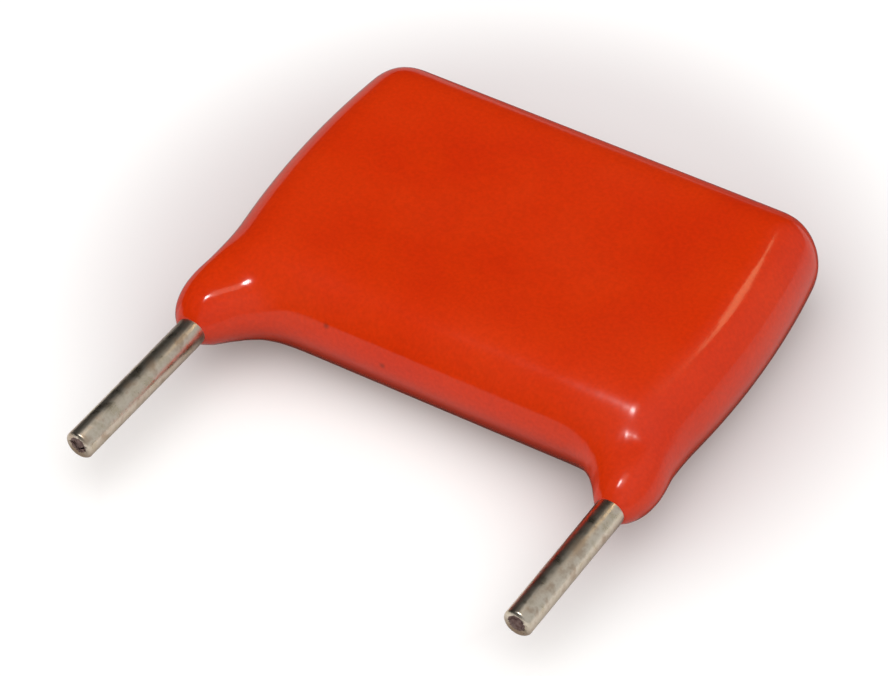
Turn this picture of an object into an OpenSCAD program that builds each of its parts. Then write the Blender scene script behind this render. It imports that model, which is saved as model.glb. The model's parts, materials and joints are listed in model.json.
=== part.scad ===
// Dipped polyester film capacitor with two radial wire leads, lying on its flat side.
// X runs along the lead pitch, the leads point along -Y, +Z is up. The origin is the centre of
// the flat lower face of the coating. All lengths are in millimetres.

/* [Film roll] */
// Height of the flattened roll, its cover film included
roll_height = 6.9; // [5:0.1:12]
// Thickness of the flattened roll, its cover film included
roll_thickness = 1.8; // [1.4:0.1:4]
// Thickness of the plain cover film around the roll
cover_film = 0.1; // [0.05:0.01:0.2]
// Thickness of the metal sprayed on each end of the roll
spray_thickness = 0.4; // [0.2:0.05:0.6]

/* [Leads] */
// Distance between the two leads where they leave the coating
lead_pitch = 10; // [7.5:0.5:22.5]
// Diameter of the lead wire
lead_diameter = 0.65; // [0.5:0.01:0.8]
// Straight length of the left lead outside the coating
lead_length_left = 3.7; // [2:0.1:30]
// Straight length of the right lead outside the coating
lead_length_right = 3.3; // [2:0.1:30]
// Angle by which the left lead leans towards -X
lead_lean_left = 3.5; // [1:0.5:8]
// Angle by which the right lead leans towards -X
lead_lean_right = 2; // [1:0.5:8]
// Radius of the centre line where a lead leans over
lead_bend_radius = 1; // [0.8:0.1:3]
// How far short of the roll's far edge the wires stop inside
lead_stop = 1.3; // [0.9:0.1:2.5]
// Chamfer that the cutters left around a lead's end
lead_end_chamfer = 0.06; // [0.02:0.01:0.15]

/* [Welds] */
// Length of a weld along the wire
weld_length = 3.2; // [1:0.1:3.4]
// Width of a weld where it meets the end spray
weld_width = 1; // [0.9:0.05:1.3]
// Thickness of weld metal between the end spray and the wire
weld_gap = 0.05; // [0.02:0.01:0.1]
// How far a weld climbs the wire's flanks
weld_rise = 0.2; // [0.1:0.01:0.24]

/* [Coating] */
// Coating outside the wires at the middle of the bowed sides
coat_side = 0.4; // [0.3:0.05:0.8]
// Coating in front of the roll and behind it
coat_edge = 0.4; // [0.3:0.05:0.8]
// Coating over each flat face of the roll
coat_face = 0.35; // [0.3:0.05:0.8]
// How far the sides bow outwards at mid-height
side_bow = 0.4; // [0:0.05:0.4]
// Radius of the body's corners, seen on its flat face
corner_radius = 0.95; // [0.8:0.05:1.4]
// Width of the rounded rim between the outline and the flat face
rim_width = 1.25; // [0.9:0.05:1.6]
// Depth to which the upper face sinks in where the resin shrank
dish_depth = 0.05; // [0:0.01:0.1]

/* [Coating flares on the leads] */
// How far the coating runs down the left lead past the front edge
flare_reach_left = 1.1; // [0.8:0.05:2]
// How far the coating runs down the right lead past the front edge
flare_reach_right = 1.2; // [0.8:0.05:2]
// Radius of the flare on the left lead
flare_radius_left = 0.79; // [0.65:0.01:0.95]
// Radius of the flare on the right lead
flare_radius_right = 0.71; // [0.65:0.01:0.95]
// How far the left flare's inner flank sweeps in along the front edge, in flare radii
flare_web_left = 3.5; // [0:0.1:4]
// How far the right flare's inner flank sweeps in along the front edge, in flare radii
flare_web_right = 3.2; // [0:0.1:4]
// How far behind the front edge the flares begin
flare_root = 0.55; // [0.3:0.05:0.7]
// How much taller a flare is at its root than its radius, as a ratio
flare_rise = 1.1; // [1:0.05:1.3]
// Size of the fillet between a flare and the body
flare_fillet = 0.6; // [0.4:0.05:0.9]

/* [Hidden] */
$fn = 64;

wire_radius = lead_diameter / 2;
lead_x = lead_pitch / 2;
// The wires are welded to the sprayed ends, so the pitch sets the length of the roll
spray_x = lead_x - wire_radius - weld_gap;
roll_end_x = spray_x - spray_thickness;
winding_height = roll_height - 2 * cover_film;
winding_thickness = roll_thickness - 2 * cover_film;

coat_width = lead_pitch + lead_diameter + 2 * coat_side;
coat_height = roll_height + 2 * coat_edge;
coat_thickness = roll_thickness + 2 * coat_face;
mid_height = coat_thickness / 2;
front_y = -coat_height / 2;

// Along each wire: its inner end, the middle of its weld, and where it leans over, which is at
// the nose of the coating's flare
wire_end_y = roll_height / 2 - lead_stop;
weld_y = (wire_end_y - roll_height / 2) / 2;
function flare_reach(side) = side < 0 ? flare_reach_left : flare_reach_right;
function bend_y(side) = front_y - flare_reach(side);

// Mesh of the coating: points across the width, points across the height
columns = 46;
rows = 38;
// The outline is searched from points this far inside it, in so many halvings of the reach
corner_inset = 1.6;
search_steps = 24;
search_reach = corner_inset + max(flare_reach_left, flare_reach_right) + 1;
// Fullness of the flare's nose: 2 is an ellipse, more is blunter
flare_nose = 2.95;
// How soon the inner flank's sweep dies away towards the nose: more is sooner
web_fade = 3;
// Share by which the outer flank draws in at the root
flare_waist = 0.2;
// How quickly a flare sinks into the body behind its root
flare_fade = 0.27;
// Distance over which the upper face sinks from its rim to the full dish
dish_run = 2.2;

// ---- form of the coating, as half its local thickness squared over the point (x, y) ----

function clamped(value) = min(max(value, 0), 1);
function smooth_step(value) = let(v = clamped(value)) v * v * (3 - 2 * v);
function smooth_max(a, b, k) = max(a, b) + pow(max(k - abs(a - b), 0) / k, 2) * k / 4;

function side_x(y) = coat_width / 2 - side_bow * pow(2 * y / coat_height, 2);

// Distance in from the body's rounded outline, negative outside it
function inset(x, y) =
    let(
        qx = abs(x) - side_x(y) + corner_radius,
        qy = abs(y) - coat_height / 2 + corner_radius
    )
    corner_radius - norm([max(qx, 0), max(qy, 0)]) - min(max(qx, qy), 0);

function body_form(x, y) =
    let(d = inset(x, y), u = clamped(d / rim_width))
    pow(mid_height, 2) * (1 - pow(1 - u, 2)) + min(d, 0) * coat_thickness;

function flare_form(x, y) =
    let(
        ahead = front_y - y,
        q = min(max((ahead + flare_root) / (flare_reach(x) + flare_root), 0), 1.2),
        radius = x < 0 ? flare_radius_left : flare_radius_right,
        web = x < 0 ? flare_web_left : flare_web_right,
        back = max(1 - q, 0),
        sweep = pow(back, web_fade),
        off = abs(x) - lead_x,
        across = off / (off < 0 ? 1 + web * sweep : 1 - flare_waist * sweep),
        height = 1 + (flare_rise - 1) * back,
        behind = max(-flare_root - ahead, 0)
    )
    (radius * radius * (1 - pow(q, flare_nose)) - across * across) * height * height
    - flare_fade * behind * behind;

function coat_form(x, y) = smooth_max(body_form(x, y), flare_form(x, y), pow(flare_fillet, 2));

function half_thickness(x, y) = sqrt(max(coat_form(x, y), 0));

function dish(x, y) = dish_depth * smooth_step((inset(x, y) - rim_width) / dish_run);

// ---- outline of the coating, found along a line from an inner point ----

function outline(p, dir, near = 0, far = search_reach, step = search_steps) =
    let(middle = (near + far) / 2, q = p + dir * middle)
    step == 0 ? q
    : coat_form(q[0], q[1]) > 0 ? outline(p, dir, middle, far, step - 1)
    : outline(p, dir, near, middle, step - 1);

// Even steps of angle put the points closest together along the rounded rim
function rim_spaced(i, n) = (1 - cos(180 * i / n)) / 2;

function blend(a, b, t) = a * (1 - t) + b * t;

inner_x = coat_width / 2 - corner_inset;
inner_back_y = coat_height / 2 - corner_inset;
inner_front_y = front_y + corner_inset / 2;
// The front corner points lie on the outer flanks of the flares
flank_slope = 0.45;
corner_lf = outline([-lead_x, inner_front_y], [-flank_slope, -1]);
corner_rf = outline([lead_x, inner_front_y], [flank_slope, -1]);
corner_lb = outline([-inner_x, inner_back_y], [-1, 1]);
corner_rb = outline([inner_x, inner_back_y], [1, 1]);

front_edge = [
    for (i = [0 : columns])
        let(x = blend(corner_lf[0], corner_rf[0], rim_spaced(i, columns)))
        outline([x, inner_front_y], [0, -1])
];
back_edge = [
    for (i = [0 : columns])
        let(x = blend(corner_lb[0], corner_rb[0], rim_spaced(i, columns)))
        outline([x, inner_back_y], [0, 1])
];
left_edge = [
    for (j = [0 : rows])
        let(y = blend(corner_lf[1], corner_lb[1], rim_spaced(j, rows)))
        outline([y < 0 ? -lead_x : -inner_x, y], [-1, 0])
];
right_edge = [
    for (j = [0 : rows])
        let(y = blend(corner_rf[1], corner_rb[1], rim_spaced(j, rows)))
        outline([y < 0 ? lead_x : inner_x, y], [1, 0])
];

// A point of the flat face's plan, spread evenly between the four edges
function plan_point(i, j) =
    let(
        u = rim_spaced(i, columns),
        v = rim_spaced(j, rows),
        between_fb = blend(front_edge[i], back_edge[i], v),
        between_lr = blend(left_edge[j], right_edge[j], u),
        corners = blend(blend(corner_lf, corner_rf, u), blend(corner_lb, corner_rb, u), v)
    )
    between_fb + between_lr - corners;

module coating_form() {
    plan = [for (i = [0 : columns]) [for (j = [0 : rows]) plan_point(i, j)]];
    row_length = rows + 1;
    sheet = (columns + 1) * row_length;
    on_rim = function(c) c[0] == 0 || c[0] == columns || c[1] == 0 || c[1] == rows;
    rise = [
        for (i = [0 : columns]) [
            for (j = [0 : rows]) on_rim([i, j]) ? 0 : half_thickness(plan[i][j][0], plan[i][j][1])
        ]
    ];
    upper = [
        for (i = [0 : columns], j = [0 : rows])
            let(p = plan[i][j])
            [p[0], p[1], mid_height + rise[i][j] - dish(p[0], p[1])]
    ];
    lower = [
        for (i = [0 : columns], j = [0 : rows])
            let(p = plan[i][j])
            [p[0], p[1], mid_height - rise[i][j]]
    ];
    // The two sheets share the upper one's points along the rim
    top = function(c) c[0] * row_length + c[1];
    low = function(c) top(c) + (on_rim(c) ? 0 : sheet);
    // Each cell is cut in two along the diagonal that runs towards the middle of the sheet
    // because the other one would lay both sheets' triangles together in two of the corners
    faces = [
        for (i = [0 : columns - 1], j = [0 : rows - 1])
            let(
                cell = [[i, j], [i, j + 1], [i + 1, j + 1], [i + 1, j]],
                turn = (2 * i < columns) == (2 * j < rows) ? 0 : 1,
                a = cell[turn], b = cell[turn + 1], c = cell[turn + 2], d = cell[(turn + 3) % 4]
            )
            for (face = [[top(a), top(b), top(c)], [top(a), top(c), top(d)],
                    [low(a), low(c), low(b)], [low(a), low(d), low(c)]])
                face
    ];
    polyhedron(points = concat(upper, lower), faces = faces);
}

// ---- shapes shared by a piece and by its seat in the coating ----

// Section of a roll that was wound round and pressed flat
module flattened_roll(height, thickness) {
    square([height - thickness, thickness], center = true);
    for (side = [-1, 1])
        translate([side * (height - thickness) / 2, 0])
            circle(d = thickness);
}

// Carries a section drawn in Y and Z along X
module along_x(from, to)
    translate([from, 0, mid_height])
        rotate([90, 0, 90])
            linear_extrude(to - from)
                children();

module embedded_wire(side)
    translate([side * lead_x, wire_end_y, mid_height])
        rotate([90, 0, 0])
            cylinder(r = wire_radius, h = wire_end_y - bend_y(side));

// A weld's bead before the wire takes its place in it, drawn on the right side
module weld_bead() {
    rise = weld_gap + weld_rise;
    top_width = lead_diameter + 2 * weld_gap;
    intersection() {
        translate([spray_x, weld_y + weld_length / 2, mid_height])
            rotate([90, 0, 0])
                linear_extrude(weld_length)
                    polygon([
                        [0, -weld_width / 2], [rise, -top_width / 2],
                        [rise, top_width / 2], [0, weld_width / 2]
                    ]);
        translate([0, weld_y, 0])
            along_x(spray_x - 1, spray_x + 1)
                flattened_roll(weld_length, weld_width);
    }
}

// ---- pieces ----

module epoxy_coating()
    color([0.8, 0.2, 0.04])
        difference() {
            coating_form();
            along_x(-spray_x, spray_x)
                flattened_roll(roll_height, roll_thickness);
            for (side = [-1, 1]) {
                embedded_wire(side);
                mirror([side < 0 ? 1 : 0, 0, 0])
                    weld_bead();
            }
        }

module film_winding()
    color([0.75, 0.76, 0.78])
        along_x(-roll_end_x, roll_end_x)
            flattened_roll(winding_height, winding_thickness);

module cover_film_turns()
    color([0.85, 0.85, 0.8])
        along_x(-roll_end_x, roll_end_x)
            difference() {
                flattened_roll(roll_height, roll_thickness);
                flattened_roll(winding_height, winding_thickness);
            }

module end_spray()
    color([0.55, 0.56, 0.58])
        along_x(roll_end_x, spray_x)
            flattened_roll(roll_height, roll_thickness);

module end_spray_right() end_spray();
module end_spray_left() mirror([1, 0, 0]) end_spray();

module weld()
    color([0.65, 0.65, 0.64])
        difference() {
            weld_bead();
            embedded_wire(1);
        }

module weld_right() weld();
module weld_left() mirror([1, 0, 0]) weld();

// A wire that leaves the coating, leans over by an angle and runs straight to its cut end
module lead(side, length, lean)
    color([0.6, 0.58, 0.54])
        union() {
            embedded_wire(side);
            translate([side * lead_x - lead_bend_radius, bend_y(side), mid_height])
                rotate([0, 0, -lean]) {
                    rotate_extrude(angle = lean)
                        translate([lead_bend_radius, 0])
                            circle(r = wire_radius);
                    translate([lead_bend_radius, 0, 0])
                        rotate([90, 0, 0]) {
                            cylinder(r = wire_radius, h = length - lead_end_chamfer);
                            translate([0, 0, length - lead_end_chamfer])
                                cylinder(
                                    r1 = wire_radius,
                                    r2 = wire_radius - lead_end_chamfer,
                                    h = lead_end_chamfer
                                );
                        }
                }
        }

module lead_left() lead(-1, lead_length_left, lead_lean_left);
module lead_right() lead(1, lead_length_right, lead_lean_right);

epoxy_coating();
film_winding();
cover_film_turns();
end_spray_left();
end_spray_right();
weld_left();
weld_right();
lead_left();
lead_right();
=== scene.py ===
import json
import math

import bmesh
import bpy
from mathutils import Matrix, Vector

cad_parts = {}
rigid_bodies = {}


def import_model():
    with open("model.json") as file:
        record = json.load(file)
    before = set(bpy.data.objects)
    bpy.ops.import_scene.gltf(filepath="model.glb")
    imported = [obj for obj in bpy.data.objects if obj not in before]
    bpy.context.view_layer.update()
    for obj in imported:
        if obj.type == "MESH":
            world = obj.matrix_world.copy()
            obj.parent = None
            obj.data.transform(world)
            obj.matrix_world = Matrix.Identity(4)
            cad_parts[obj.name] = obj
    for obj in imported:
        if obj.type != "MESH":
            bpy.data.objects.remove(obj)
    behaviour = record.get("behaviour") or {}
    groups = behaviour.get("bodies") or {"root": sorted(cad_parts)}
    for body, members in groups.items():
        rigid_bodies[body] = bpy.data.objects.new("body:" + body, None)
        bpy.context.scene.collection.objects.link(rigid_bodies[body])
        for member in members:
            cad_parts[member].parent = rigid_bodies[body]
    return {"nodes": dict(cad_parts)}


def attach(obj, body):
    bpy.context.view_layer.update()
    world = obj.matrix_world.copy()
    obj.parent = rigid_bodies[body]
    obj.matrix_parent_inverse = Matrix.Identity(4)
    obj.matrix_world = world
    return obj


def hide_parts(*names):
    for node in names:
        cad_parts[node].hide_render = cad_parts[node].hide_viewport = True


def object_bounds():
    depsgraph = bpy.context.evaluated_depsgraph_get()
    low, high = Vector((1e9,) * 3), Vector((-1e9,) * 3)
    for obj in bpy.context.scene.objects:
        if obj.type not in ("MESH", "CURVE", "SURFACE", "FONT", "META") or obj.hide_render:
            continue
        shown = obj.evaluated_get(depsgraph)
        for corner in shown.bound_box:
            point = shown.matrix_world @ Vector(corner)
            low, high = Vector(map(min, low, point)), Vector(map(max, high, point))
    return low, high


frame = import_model()
cad_low, cad_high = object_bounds()

MM = 0.001

# ---- sizes of the part, the same as in its source ----

# half the lead pitch
LEAD_X = 5.0 * MM
WIRE_R = 0.325 * MM
# where the wires stop inside the coating
WIRE_END_Y = 2.15 * MM
# the centre line's radius where a lead leans over
BEND_R = 1.0 * MM
COATING_SIZE = (11.45 * MM, 7.7 * MM, 2.5 * MM)
MID_Z = 1.25 * MM
# the coating's front edge, between the flares
FRONT_Y = -3.85 * MM
# a little more than half of the hollow that holds the roll
HOLLOW = (4.9 * MM, 3.47 * MM, 0.91 * MM)
# side, how far the coating runs down the lead, the lead's straight length, its lean in degrees
LEADS = {
    "left": (-1, 1.10 * MM, 3.7 * MM, 3.5),
    "right": (1, 1.20 * MM, 3.3 * MM, 2.0),
}

# a face looks along an axis when its normal's share of it is more than this
FACING = 0.9


# ---- modelling by hand ----


def deselect():
    if bpy.context.object and bpy.context.object.mode != "OBJECT":
        bpy.ops.object.mode_set(mode="OBJECT")
    bpy.ops.object.select_all(action="DESELECT")


def pick(obj):
    deselect()
    obj.select_set(True)
    bpy.context.view_layer.objects.active = obj


def edit(obj):
    pick(obj)
    bpy.ops.object.mode_set(mode="EDIT")
    bpy.ops.mesh.select_mode(type="FACE")


def select_faces(obj, test):
    """Selects the faces of the mesh in edit mode that pass a test, and nothing else."""
    bm = bmesh.from_edit_mesh(obj.data)
    for parts in (bm.verts, bm.edges, bm.faces):
        for part in parts:
            part.select = False
    for face in bm.faces:
        if test(face):
            face.select = True
    bm.select_flush_mode()
    bmesh.update_edit_mesh(obj.data)


def apply_modifier(obj, kind, **settings):
    pick(obj)
    modifier = obj.modifiers.new(kind.lower(), kind)
    for key, value in settings.items():
        setattr(modifier, key, value)
    bpy.ops.object.modifier_apply(modifier=modifier.name)


def add_piece(obj, node_name):
    """Hands a finished piece to the frame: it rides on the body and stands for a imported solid."""
    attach(obj, "root")
    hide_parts(node_name)


# ---- camera ----

CAMERA_AZIMUTH, CAMERA_ELEVATION, CAMERA_ROLL = -32.548, 46.194, -2.143
CAMERA_AIM = Vector((-0.346 * MM, -2.424 * MM, MID_Z))
CAMERA_DISTANCE = 101 * MM
CAMERA_LENS = 198.37


def add_camera():
    azimuth = math.radians(CAMERA_AZIMUTH)
    elevation = math.radians(CAMERA_ELEVATION)
    roll = math.radians(CAMERA_ROLL)
    back = Vector(
        (
            -math.sin(azimuth) * math.cos(elevation),
            -math.cos(azimuth) * math.cos(elevation),
            math.sin(elevation),
        )
    )
    level = Vector((math.cos(azimuth), -math.sin(azimuth), 0))
    upright = back.cross(level)
    right = level * math.cos(roll) + upright * math.sin(roll)
    up = upright * math.cos(roll) - level * math.sin(roll)
    spot = CAMERA_AIM + back * CAMERA_DISTANCE
    bpy.ops.object.camera_add(location=spot)
    camera = bpy.context.object
    camera.name = "camera"
    rows = [(right[i], up[i], back[i], spot[i]) for i in range(3)]
    camera.matrix_world = Matrix(rows + [(0, 0, 0, 1)])
    camera.data.sensor_width = 36
    camera.data.lens = CAMERA_LENS
    camera.data.clip_start = 0.005
    camera.data.clip_end = 20
    bpy.context.scene.camera = camera


add_camera()


# ---- materials ----

# a Mix node's inputs and its output, when it mixes colours and when it mixes numbers
FACTOR, COLOUR_A, COLOUR_B, COLOUR_OUT = 0, 6, 7, 2
NUMBER_A, NUMBER_B, NUMBER_OUT = 2, 3, 0


def colour(code):
    """An sRGB hex colour as the linear one that Blender's sockets take."""
    parts = [int(code[i : i + 2], 16) / 255 for i in (1, 3, 5)]
    return tuple(p / 12.92 if p <= 0.04045 else ((p + 0.055) / 1.055) ** 2.4 for p in parts) + (1,)


def grey(value):
    return (value, value, value, 1)


def node(owner, kind, settings=None, links=(), stops=(), **sockets):
    """Adds a node to a material or world. Settings are its own options, or an input's value by
    number; links are (this node's input, other node, its output); stops are a colour ramp's
    places and colours; sockets are input values by name."""
    n = owner.node_tree.nodes.new(kind)
    for key, value in (settings or {}).items():
        if isinstance(key, int):
            n.inputs[key].default_value = value
        else:
            setattr(n, key, value)
    for key, value in sockets.items():
        n.inputs[key.replace("_", " ")].default_value = value
    for here, other, there in links:
        owner.node_tree.links.new(n.inputs[here], other.outputs[there])
    if stops:
        marks = n.color_ramp.elements
        marks.remove(marks[0])
        marks[0].position, marks[0].color = stops[0]
        for at, shade in stops[1:]:
            marks.new(at).color = shade
    return n


def new_material(name):
    m = bpy.data.materials.new(name)
    m.use_nodes = True
    m.node_tree.nodes.clear()
    return m


def fade(m, place, point, start, end, most=1.0):
    """Runs from 0 to most as the distance from a point goes from start to end, all in mm."""
    gap = node(
        m,
        "ShaderNodeVectorMath",
        {"operation": "DISTANCE", 1: tuple(v * MM for v in point)},
        [(0, place, "Object")],
    )
    return node(
        m,
        "ShaderNodeMapRange",
        {"interpolation_type": "SMOOTHSTEP"},
        [("Value", gap, "Value")],
        From_Min=start * MM,
        From_Max=end * MM,
        To_Max=most,
    )


def dipped_epoxy():
    """Epoxy resin, dipped and cured in an oven: deep opaque colour under a glossy skin that is
    slightly uneven."""
    m = new_material("dipped_cured_epoxy")
    place = node(m, "ShaderNodeTexCoord")
    surface = [("Vector", place, "Object")]
    # pigment clouds 2.5 mm across
    clouds = node(
        m, "ShaderNodeTexNoise", links=surface, Scale=0.4 / MM, Detail=3.0, Roughness=0.55
    )
    tint = node(
        m,
        "ShaderNodeValToRGB",
        links=[("Fac", clouds, "Fac")],
        stops=[(0.3, colour("#CB2C04")), (0.5, colour("#CF3004")), (0.7, colour("#D23406"))],
    )
    # pigment grain of 0.08 mm, coarser than real pigment so that it shows
    grain = node(
        m, "ShaderNodeTexNoise", links=surface, Scale=12.0 / MM, Detail=2.0, Roughness=0.5
    )
    shade = node(
        m,
        "ShaderNodeValToRGB",
        links=[("Fac", grain, "Fac")],
        stops=[(0.3, grey(0.88)), (0.7, grey(1.0))],
    )
    paint = node(
        m,
        "ShaderNodeMix",
        {"data_type": "RGBA", "blend_type": "MULTIPLY", FACTOR: 1.0},
        [(COLOUR_A, tint, "Color"), (COLOUR_B, shade, "Color")],
    )
    # two specks of dirt caught in the resin of the front rim, 0.1 mm across
    for speck in ((-2.37, -3.74, 1.76), (-0.97, -3.84, 1.39)):
        near = fade(m, place, speck, 0.1, 0.0, 0.6)
        paint = node(
            m,
            "ShaderNodeMix",
            {"data_type": "RGBA", COLOUR_B: colour("#5A2410")},
            [(FACTOR, near, "Result"), (COLOUR_A, paint, COLOUR_OUT)],
        )
    # painted shade: the resin is darker towards its lower edge, where the underside lies in shadow
    height = node(m, "ShaderNodeSeparateXYZ", links=surface)
    painted_underside_shade = node(
        m,
        "ShaderNodeMapRange",
        {"interpolation_type": "SMOOTHERSTEP"},
        [("Value", height, "Z")],
        From_Min=1.6 * MM,
        From_Max=0.4 * MM,
    )
    paint = node(
        m,
        "ShaderNodeMix",
        {"data_type": "RGBA", COLOUR_B: colour("#761C06")},
        [(FACTOR, painted_underside_shade, "Result"), (COLOUR_A, paint, COLOUR_OUT)],
    )
    # gloss changes over 4 mm, where the resin ran thicker or thinner
    runs = node(
        m, "ShaderNodeTexNoise", links=surface, Scale=0.25 / MM, Detail=2.0, Roughness=0.5
    )
    gloss = node(
        m,
        "ShaderNodeValToRGB",
        links=[("Fac", runs, "Fac")],
        stops=[(0.35, grey(0.09)), (0.65, grey(0.15))],
    )
    # a duller place where the body runs into the right flare
    dulled = fade(m, place, (5.1, -3.3, 2.1), 2.6, 0.2, 0.06)
    skin = node(
        m, "ShaderNodeMath", {"operation": "ADD"}, [(0, gloss, "Color"), (1, dulled, "Result")]
    )
    # orange peel of 0.6 mm cells
    peel = node(
        m, "ShaderNodeTexNoise", links=surface, Scale=1.6 / MM, Detail=2.0, Roughness=0.4
    )
    bump = node(
        m, "ShaderNodeBump", links=[("Height", peel, "Fac")], Strength=0.25, Distance=0.02 * MM
    )
    resin = node(
        m,
        "ShaderNodeBsdfPrincipled",
        links=[
            ("Base Color", paint, COLOUR_OUT),
            ("Roughness", skin, "Value"),
            ("Normal", bump, "Normal"),
        ],
        IOR=1.5,
        Specular_IOR_Level=0.32,
    )
    node(m, "ShaderNodeOutputMaterial", links=[("Surface", resin, "BSDF")])
    return m


def tinned_wire():
    """Copper wire, hot-tinned and drawn: soft grey metal with fine lines along it, a little
    oxidised."""
    m = new_material("drawn_tinned_copper")
    place = node(m, "ShaderNodeTexCoord")
    surface = [("Vector", place, "Object")]
    # drawing lines 0.04 mm apart and 2 mm long, along Y
    stretch = node(m, "ShaderNodeMapping", links=surface, Scale=(1.0, 0.02, 1.0))
    lines = node(
        m,
        "ShaderNodeTexNoise",
        links=[("Vector", stretch, "Vector")],
        Scale=25.0 / MM,
        Detail=2.0,
        Roughness=0.6,
    )
    # oxide stains 0.4 mm across
    stains = node(
        m, "ShaderNodeTexNoise", links=surface, Scale=2.5 / MM, Detail=3.0, Roughness=0.6
    )
    tint = node(
        m,
        "ShaderNodeValToRGB",
        links=[("Fac", stains, "Fac")],
        stops=[(0.35, colour("#D8CCB4")), (0.5, colour("#EDE3D2")), (0.65, colour("#CDBBA6"))],
    )
    # painted shade: the wire is darker and browner towards its underside, where the lower flank
    # lies in shade
    height = node(m, "ShaderNodeSeparateXYZ", links=surface)
    wire_underside_shade = node(
        m,
        "ShaderNodeMapRange",
        links=[("Value", height, "Z")],
        From_Min=1.42 * MM,
        From_Max=1.08 * MM,
    )
    # the oxide stains, with the painted shade of the underside mixed in
    stains_and_painted_shade = node(
        m,
        "ShaderNodeMix",
        {"data_type": "RGBA", COLOUR_B: colour("#917F6C")},
        [(FACTOR, wire_underside_shade, "Result"), (COLOUR_A, tint, "Color")],
    )
    dull = node(
        m,
        "ShaderNodeValToRGB",
        links=[("Fac", stains, "Fac")],
        stops=[(0.35, grey(0.26)), (0.65, grey(0.38))],
    )
    bump = node(
        m, "ShaderNodeBump", links=[("Height", lines, "Fac")], Strength=0.3, Distance=0.01 * MM
    )
    metal = node(
        m,
        "ShaderNodeBsdfPrincipled",
        links=[
            ("Base Color", stains_and_painted_shade, COLOUR_OUT),
            ("Roughness", dull, "Color"),
            ("Normal", bump, "Normal"),
        ],
        Metallic=1.0,
    )
    node(m, "ShaderNodeOutputMaterial", links=[("Surface", metal, "BSDF")])
    return m


def grained_finish(name, dark, light, smoothest, roughest, grains_per_mm, metallic=1.0):
    """A finish of one grain, which changes its colour and its gloss and stands up a little."""
    m = new_material(name)
    place = node(m, "ShaderNodeTexCoord")
    grain = node(
        m,
        "ShaderNodeTexNoise",
        links=[("Vector", place, "Object")],
        Scale=grains_per_mm / MM,
        Detail=4.0,
        Roughness=0.6,
    )
    tint = node(
        m,
        "ShaderNodeValToRGB",
        links=[("Fac", grain, "Fac")],
        stops=[(0.3, colour(dark)), (0.7, colour(light))],
    )
    dull = node(
        m,
        "ShaderNodeValToRGB",
        links=[("Fac", grain, "Fac")],
        stops=[(0.3, grey(smoothest)), (0.7, grey(roughest))],
    )
    bump = node(
        m, "ShaderNodeBump", links=[("Height", grain, "Fac")], Strength=0.4, Distance=0.02 * MM
    )
    body = node(
        m,
        "ShaderNodeBsdfPrincipled",
        links=[
            ("Base Color", tint, "Color"),
            ("Roughness", dull, "Color"),
            ("Normal", bump, "Normal"),
        ],
        Metallic=metallic,
    )
    node(m, "ShaderNodeOutputMaterial", links=[("Surface", body, "BSDF")])
    return m


epoxy = dipped_epoxy()
tin = tinned_wire()
# bare copper that the cutters sheared: brown-grey and torn, with a grain of 0.1 mm
copper = grained_finish("sheared_copper", "#5A3F3B", "#A08C86", 0.5, 0.7, 9.0)
# zinc sprayed on with a flame: matt grey grit of 0.2 mm
zinc = grained_finish("flame_sprayed_zinc", "#77787A", "#97989A", 0.55, 0.8, 5.0)
# the edges of wound film with a thin metal layer: pale and silvery, uneven over 1 mm
winding = grained_finish("metallised_film_edges", "#B5B7BB", "#C9CBCF", 0.2, 0.35, 0.8)
# plain polyester film, wound tight: smooth, glossy and faintly yellow
plain_film = grained_finish(
    "clear_polyester_film", "#CFCFC2", "#DEDED4", 0.15, 0.25, 0.6, metallic=0.0
)
# tin and zinc that melted together in the weld: satin grey, puckered over 0.25 mm
weld_metal = grained_finish("resistance_welded_tin", "#9A9A98", "#B3B2AE", 0.3, 0.5, 4.0)


# ---- floor ----

FLOOR_SIZE = 0.8


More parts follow.
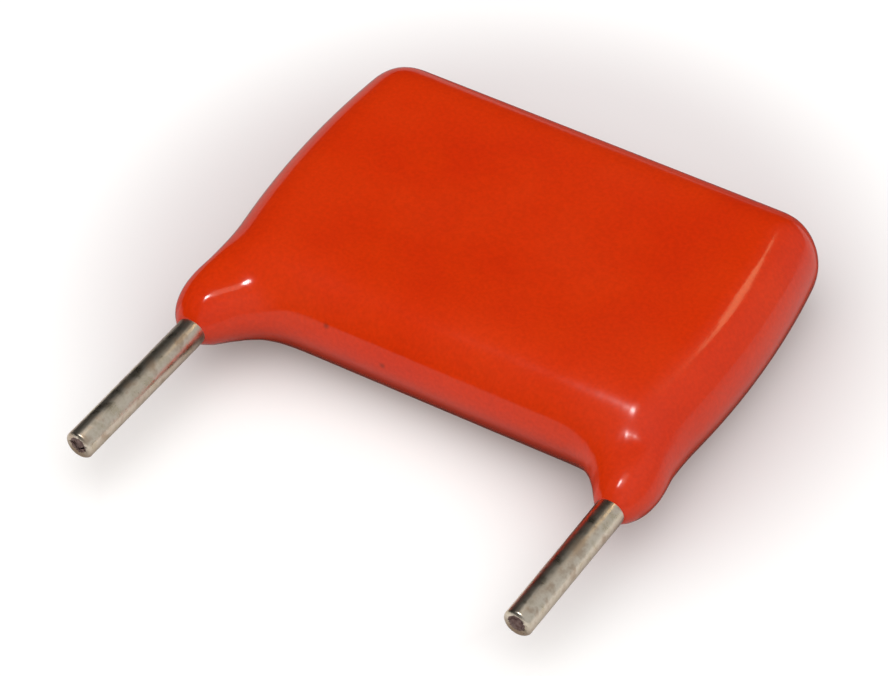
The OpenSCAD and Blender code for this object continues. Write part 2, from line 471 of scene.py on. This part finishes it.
def paper_floor():
    """White matt paper, lying flat: no pattern; painted shade makes it a little greyer round the
    part.
    """
    m = new_material("white_paper_floor")
    place = node(m, "ShaderNodeTexCoord")
    # painted shade: greyer round the part, white far out; painted light: white in front between the
    # leads, where the part's shadow falls
    outer = fade(m, place, (-0.6, 0, 0), 6.5, 10.5)
    between = fade(m, place, (-0.7, -8.4, 0), 7.0, 3.4)
    # the painted shade and light together: 0 is the grey near the part, 1 is white
    white = node(m, "ShaderNodeMath", {"operation": "MAXIMUM"}, [(0, outer, 0), (1, between, 0)])
    tint = node(
        m,
        "ShaderNodeValToRGB",
        links=[("Fac", white, "Value")],
        stops=[(0.0, colour("#E4E0E1")), (1.0, colour("#FFFFFF"))],
    )
    paper = node(
        m,
        "ShaderNodeBsdfPrincipled",
        links=[("Base Color", tint, "Color")],
        Roughness=0.9,
        Specular_IOR_Level=0.2,
    )
    # in the part's gloss the paper is dark, but in front and on both sides it is lit, past the
    # part's own contact shadow: the axis, where the light starts, where it is full, how strong
    spot = node(m, "ShaderNodeSeparateXYZ", links=[("Vector", place, "Object")])
    lit = None
    for axis, start, full, most in (
        ("Y", -3.9, -4.4, 0.7),
        ("X", 5.75, 6.2, 0.7),
        ("X", -6.2, -7.0, 0.25),
    ):
        side = node(
            m,
            "ShaderNodeMapRange",
            links=[("Value", spot, axis)],
            From_Min=start * MM,
            From_Max=full * MM,
            To_Max=most,
        )
        if lit:
            side = node(m, "ShaderNodeMath", {"operation": "MAXIMUM"}, [(0, lit, 0), (1, side, 0)])
        lit = side
    ray = node(m, "ShaderNodeLightPath")
    unlit = node(
        m,
        "ShaderNodeMath",
        {"operation": "SUBTRACT", "use_clamp": True},
        [(0, ray, "Is Glossy Ray"), (1, lit, 0)],
    )
    dark = node(m, "ShaderNodeBsdfDiffuse", Color=colour("#6A5F5C"))
    seen = node(m, "ShaderNodeMixShader", links=[(0, unlit, 0), (1, paper, 0), (2, dark, 0)])
    node(m, "ShaderNodeOutputMaterial", links=[("Surface", seen, "Shader")])
    return m


bpy.ops.mesh.primitive_plane_add(size=FLOOR_SIZE, location=(0, 0, cad_low[2]))
floor = bpy.context.object
floor.name = "floor"
floor.data.materials.append(paper_floor())


# ---- light ----

LAMP_DISTANCE = 0.3


def towards(azimuth, elevation):
    """The direction at an azimuth, turning from +Y to +X, and an elevation, in degrees."""
    a, e = math.radians(azimuth), math.radians(elevation)
    return Vector((math.sin(a) * math.cos(e), math.cos(a) * math.cos(e), math.sin(e)))


def add_lamp(name, azimuth, elevation, width, power, **more):
    """A lamp that faces the part: a disk, or a pane where a height is given. It throws no shadow,
    as behind a diffuser; the tent throws the soft one."""
    spot = towards(azimuth, elevation) * LAMP_DISTANCE
    bpy.ops.object.light_add(type="AREA", location=spot)
    lamp = bpy.context.object
    lamp.name = name
    lamp.rotation_euler = spot.to_track_quat("Z", "Y").to_euler()
    lamp.visible_diffuse = not more.get("gloss_only", False)
    lamp.data.shape = "RECTANGLE" if "height" in more else "DISK"
    lamp.data.size = width
    lamp.data.size_y = more.get("height", width)
    lamp.data.energy = power
    lamp.data.color = colour(more.get("tint", "#FFFFFF"))[:3]
    lamp.data.use_shadow = False


# the bright spots on the flares, and a brighter core in them
add_lamp("overhead_lamp", -145, 76, 0.03, 0.12)
add_lamp("window_pane", -147, 74, 0.04, 0.14, gloss_only=True)
# warms the flat top
add_lamp("ceiling_light", -160, 84, 0.07, 0.03, tint="#FFE6C8")
# the warm streak along the right rim
add_lamp("side_window", 21, 47.5, 0.06, 0.03, height=0.03, tint="#FFD9A0")


def studio_dome():
    """A white tent that lights the part softly from all round. The gloss mirrors it dimly, as it
    would the dark room beyond the lamps."""
    world = bpy.data.worlds.new("studio")
    bpy.context.scene.world = world
    world.use_nodes = True
    world.cycles.sampling_method = "NONE"
    world.node_tree.nodes.clear()
    place = node(world, "ShaderNodeTexCoord")
    beside = node(
        world,
        "ShaderNodeVectorMath",
        {"operation": "DOT_PRODUCT", 1: towards(95, 10)},
        [(0, place, "Generated")],
    )
    room = node(
        world,
        "ShaderNodeMapRange",
        {"interpolation_type": "SMOOTHSTEP"},
        [("Value", beside, "Value")],
        From_Min=-0.15,
        From_Max=0.7,
        To_Min=0.02,
        To_Max=0.48,
    )
    overhead = node(
        world,
        "ShaderNodeVectorMath",
        {"operation": "DOT_PRODUCT", 1: towards(150, 72)},
        [(0, place, "Generated")],
    )
    tent = node(
        world,
        "ShaderNodeMapRange",
        links=[("Value", overhead, "Value")],
        To_Min=0.12,
        To_Max=1.38,
    )
    ray = node(world, "ShaderNodeLightPath")
    light = node(
        world,
        "ShaderNodeMix",
        {"data_type": "FLOAT"},
        [(FACTOR, ray, "Is Glossy Ray"), (NUMBER_A, tent, "Result"), (NUMBER_B, room, "Result")],
    )
    # the empty background is white like the paper
    strength = node(
        world,
        "ShaderNodeMix",
        {"data_type": "FLOAT", NUMBER_B: 0.95},
        [(FACTOR, ray, "Is Camera Ray"), (NUMBER_A, light, NUMBER_OUT)],
    )
    sky = node(
        world,
        "ShaderNodeBackground",
        links=[("Strength", strength, NUMBER_OUT)],
        Color=colour("#FFFFFF"),
    )
    node(world, "ShaderNodeOutputWorld", links=[("Surface", sky, "Background")])


studio_dome()
bpy.context.scene.view_settings.view_transform = "Standard"


# ---- the coating ----

# where the block is cut across, in mm: most closely where the rim and the flares turn
CUTS = {
    "x": (0.0, -1.5, 1.5, -3.0, 3.0, -4.1, 4.1, -4.9, 4.9),
    "y": (-3.2, -2.0, -0.6, 0.8, 2.2, 3.2),
    "z": (0.35, 0.9, 1.6, 2.15),
}
# the end cells of the front face start here, and grow into the flares
FLARE_X = 4.1 * MM
# the steps of a flare: its share of the reach, and how far the end closes in
FLARE_STEPS = ((0.45, 0.82), (0.4, 0.9), (0.15, 0.7))


def outer_skin():
    """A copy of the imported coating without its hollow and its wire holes, to lay the resin on."""
    source = frame["nodes"]["epoxy_coating"]
    skin = bpy.data.objects.new("skin", source.data.copy())
    bpy.context.scene.collection.objects.link(skin)
    edit(skin)
    bpy.ops.mesh.select_all(action="SELECT")
    bpy.ops.mesh.remove_doubles(threshold=1e-7)

    def inside(face):
        c = face.calc_center_median()
        if abs(c.x) < HOLLOW[0] and abs(c.y) < HOLLOW[1] and abs(c.z - MID_Z) < HOLLOW[2]:
            return True
        if c.y > WIRE_END_Y + 0.05 * MM:
            return False
        return math.hypot(abs(c.x) - LEAD_X, c.z - MID_Z) < WIRE_R * 1.02

    select_faces(skin, inside)
    bpy.ops.mesh.delete(type="FACE")
    bpy.ops.mesh.select_all(action="SELECT")
    bpy.ops.mesh.fill_holes(sides=0)
    bpy.ops.object.mode_set(mode="OBJECT")
    return skin


def dipped_coating():
    """The resin's skin: a block cut into cells, drawn out along the wires and laid on the form."""
    bpy.ops.mesh.primitive_cube_add(size=1, location=(0, 0, MID_Z), scale=COATING_SIZE)
    coat = bpy.context.object
    coat.name = "dipped_coating"
    bpy.ops.object.transform_apply(location=True, rotation=True, scale=True)
    edit(coat)
    for axis, places in CUTS.items():
        normal = [float(axis == k) for k in "xyz"]
        for at in places:
            bpy.ops.mesh.select_all(action="SELECT")
            bpy.ops.mesh.bisect(plane_co=[n * at * MM for n in normal], plane_no=normal)
    for side, reach, _, _ in LEADS.values():

        def flare_cell(face):
            c = face.calc_center_median()
            in_front = face.normal.y < -FACING and c.y < FRONT_Y + 0.01 * MM
            return in_front and side * c.x > FLARE_X

        select_faces(coat, flare_cell)
        for share, squeeze in FLARE_STEPS:
            step = {"value": (0, -reach * share, 0)}
            bpy.ops.mesh.extrude_region_move(TRANSFORM_OT_translate=step)
            bpy.ops.transform.resize(
                value=(squeeze, 1, squeeze),
                center_override=(side * LEAD_X, FRONT_Y - reach * share, MID_Z),
            )
    bpy.ops.object.mode_set(mode="OBJECT")
    skin = outer_skin()
    wrap = {"target": skin, "wrap_method": "NEAREST_SURFACEPOINT"}
    apply_modifier(coat, "SUBSURF", levels=2, render_levels=2)
    for rounds in (12, 8, 4):
        apply_modifier(coat, "SHRINKWRAP", **wrap)
        apply_modifier(coat, "SMOOTH", factor=0.5, iterations=rounds)
    apply_modifier(coat, "SHRINKWRAP", **wrap)
    apply_modifier(coat, "SUBSURF", levels=1, render_levels=1)
    apply_modifier(coat, "SHRINKWRAP", **wrap)
    apply_modifier(coat, "SMOOTH", factor=0.5, iterations=6)
    bpy.data.objects.remove(skin)
    pick(coat)
    bpy.ops.object.shade_smooth()
    coat.data.materials.append(epoxy)
    add_piece(coat, "epoxy_coating")


dipped_coating()


# ---- the leads ----

# how far back the cutters rounded the edge of a lead's end
LIP = 0.06 * MM
# the steps of that edge: its share of the lip, and how far the end closes in
LIP_STEPS = ((0.4, 0.97), (0.35, 0.93), (0.25, 0.9))
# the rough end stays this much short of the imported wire's
SHORT = 0.006 * MM
# the torn face of each lead's end: another one on each side
TEAR_SEED = {"left": 4, "right": 9}


def lead_wire(name):
    """A wire from inside the coating: straight, leaning over at the flare, sheared at its end."""
    side, reach, length, lean = LEADS[name]
    bend_y = FRONT_Y - reach
    bpy.ops.mesh.primitive_cylinder_add(
        vertices=64,
        radius=WIRE_R,
        depth=WIRE_END_Y - bend_y,
        location=(side * LEAD_X, (WIRE_END_Y + bend_y) / 2, MID_Z),
        rotation=(math.radians(90), 0, 0),
    )
    wire = bpy.context.object
    wire.name = "lead_wire_" + name
    bpy.ops.object.transform_apply(location=True, rotation=True, scale=True)
    edit(wire)
    select_faces(wire, lambda face: face.normal.y < -FACING)
    turn = math.radians(lean)
    pivot = Vector((side * LEAD_X - BEND_R, bend_y, MID_Z))
    bpy.ops.mesh.spin(steps=6, angle=turn, center=pivot, axis=(0, 0, 1))
    ahead = Vector((-math.sin(turn), -math.cos(turn), 0))
    straight = length - SHORT - LIP
    bpy.ops.mesh.extrude_region_move(TRANSFORM_OT_translate={"value": ahead * straight})
    bend_end = pivot + Vector((math.cos(turn), -math.sin(turn), 0)) * BEND_R
    tip = bend_end + ahead * straight
    for step, squeeze in LIP_STEPS:
        bpy.ops.mesh.extrude_region_move(TRANSFORM_OT_translate={"value": ahead * LIP * step})
        bpy.ops.transform.resize(value=(squeeze, 1, squeeze), center_override=tip)
    # the copper core shows inside the tin that the cutters dragged over the edge
    bpy.ops.mesh.inset(thickness=0.07 * MM, depth=-0.02 * MM)
    bpy.ops.transform.translate(value=(-0.015 * MM, 0, 0.02 * MM))
    bpy.ops.transform.vertex_random(offset=0.022 * MM, seed=TEAR_SEED[name])
    bpy.ops.mesh.inset(thickness=0.05 * MM, depth=-0.01 * MM)
    bpy.ops.mesh.select_more()
    wire.data.materials.append(tin)
    wire.data.materials.append(copper)
    bm = bmesh.from_edit_mesh(wire.data)
    for face in bm.faces:
        face.material_index = 1 if face.select else 0
    bmesh.update_edit_mesh(wire.data)
    bpy.ops.object.mode_set(mode="OBJECT")
    bpy.ops.object.shade_smooth_by_angle(angle=math.radians(35))
    add_piece(wire, "lead_" + name)


lead_wire("left")
lead_wire("right")


# ---- finishes of the pieces inside, which the coating hides ----

for name, finish in {
    "film_winding": winding,
    "cover_film_turns": plain_film,
    "end_spray_left": zinc,
    "end_spray_right": zinc,
    "weld_left": weld_metal,
    "weld_right": weld_metal,
}.items():
    data = frame["nodes"][name].data
    data.materials.clear()
    data.materials.append(finish)

deselect()
bpy.context.view_layer.update()
